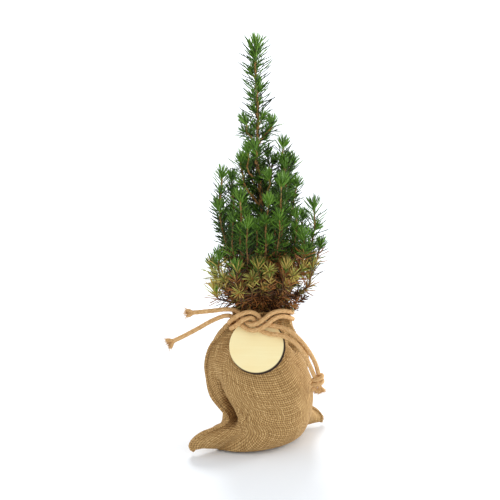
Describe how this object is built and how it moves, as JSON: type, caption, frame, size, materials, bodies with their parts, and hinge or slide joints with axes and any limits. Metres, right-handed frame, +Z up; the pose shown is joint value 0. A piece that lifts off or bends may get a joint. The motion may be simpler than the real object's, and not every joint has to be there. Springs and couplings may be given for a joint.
{
  "type": "dwarf spruce sapling with root ball in a drawstring bag",
  "caption": "Young dwarf spruce with upright shoots, standing on its root ball in a jute drawstring bag with a blank round wooden tag.",
  "frame": {"origin": "middle of the bag's flat underside, on the surface that it stands on", "axes": "+Z up along the trunk; -Y is the front, where the tag hangs; +X is to the right of someone who faces the tag"},
  "size_m": [0.1334, 0.0972, 0.363],
  "materials": {
    "jute": "matte",
    "soil": "matte",
    "cord": "matte",
    "tag_wood": "satin",
    "bark": "matte",
    "needles": "satin",
    "old_needles": "matte"
  },
  "bodies": {
    "root": {"bag": "jute", "bough_back_high_left": "bark", "bough_back_high_right": "bark", "bough_back_left": "bark", "bough_back_low": "bark", "bough_back_middle": "bark", "bough_back_right": "bark", "bough_front_left": "bark", "bough_front_middle": "bark", "bough_front_right": "bark", "bough_left_back": "bark", "bough_left_far": "bark", "bough_left_foot": "bark", "bough_left_low": "bark", "bough_left_tall": "bark", "bough_right_back": "bark", "bough_right_foot": "bark", "bough_right_front": "bark", "bough_right_low": "bark", "bough_right_tall": "bark", "bough_upper_left": "bark", "bough_upper_right": "bark", "drawstring_knot": "cord", "drawstring_left_lower": "cord", "drawstring_left_upper": "cord", "drawstring_right_lower": "cord", "drawstring_right_upper": "cord", "foliage_back_high_left": "needles", "foliage_back_high_right": "needles", "foliage_back_left": "needles", "foliage_back_low": "old_needles", "foliage_back_middle": "needles", "foliage_back_right": "needles", "foliage_crest_front": "needles", "foliage_crest_left": "needles", "foliage_crest_right": "needles", "foliage_front_left": "needles", "foliage_front_middle": "needles", "foliage_front_right": "needles", "foliage_leader_middle": "needles", "foliage_leader_top": "needles", "foliage_left_back": "needles", "foliage_left_far": "old_needles", "foliage_left_foot": "old_needles", "foliage_left_low": "needles", "foliage_left_tall": "needles", "foliage_right_back": "needles", "foliage_right_front": "needles", "foliage_right_inner": "needles", "foliage_right_low": "needles", "foliage_right_tall": "needles", "foliage_skirt_front": "needles", "foliage_skirt_left": "needles", "foliage_skirt_right": "needles", "foliage_upper_left": "needles", "foliage_upper_right": "needles", "foliage_upper_right_back": "needles", "root_ball": "soil", "trunk": "bark", "wooden_tag": "tag_wood"}
  },
  "joints": []
}
